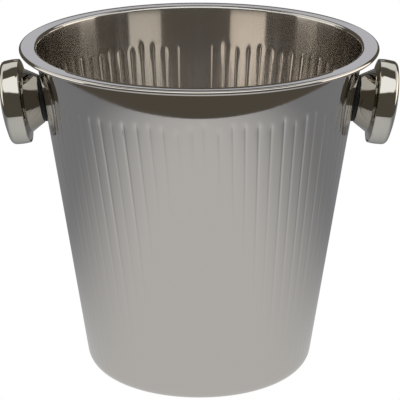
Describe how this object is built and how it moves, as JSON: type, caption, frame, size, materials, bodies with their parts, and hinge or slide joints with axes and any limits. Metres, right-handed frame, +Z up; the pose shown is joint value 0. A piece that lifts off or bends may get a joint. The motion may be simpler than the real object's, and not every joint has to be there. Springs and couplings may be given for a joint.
{
  "type": "champagne bucket",
  "caption": "Tapered polished steel champagne and ice bucket with a flat rolled rim, vertically ribbed wall and two round knob handles.",
  "frame": {"origin": "centre of the base, on the plane that the bucket stands on", "axes": "+Z up along the bucket's axis, +X towards the right knob seen from the front, -Y towards the front"},
  "size_m": [0.241, 0.2162, 0.205],
  "materials": {
    "polished_steel": "mirror-polished stainless steel sheet",
    "hardware_steel": "plain machined stainless steel",
    "black_rubber": "matt black rubber"
  },
  "bodies": {
    "root": {"bucket_shell": "polished_steel", "left_knob_cap": "polished_steel", "left_knob_neck": "polished_steel", "left_knob_boss": "hardware_steel", "left_knob_gasket": "black_rubber", "left_seal_washer": "black_rubber", "left_flat_washer": "hardware_steel", "left_lock_washer": "hardware_steel", "left_screw": "hardware_steel", "right_knob_cap": "polished_steel", "right_knob_neck": "polished_steel", "right_knob_boss": "hardware_steel", "right_knob_gasket": "black_rubber", "right_seal_washer": "black_rubber", "right_flat_washer": "hardware_steel", "right_lock_washer": "hardware_steel", "right_screw": "hardware_steel"}
  },
  "joints": []
}
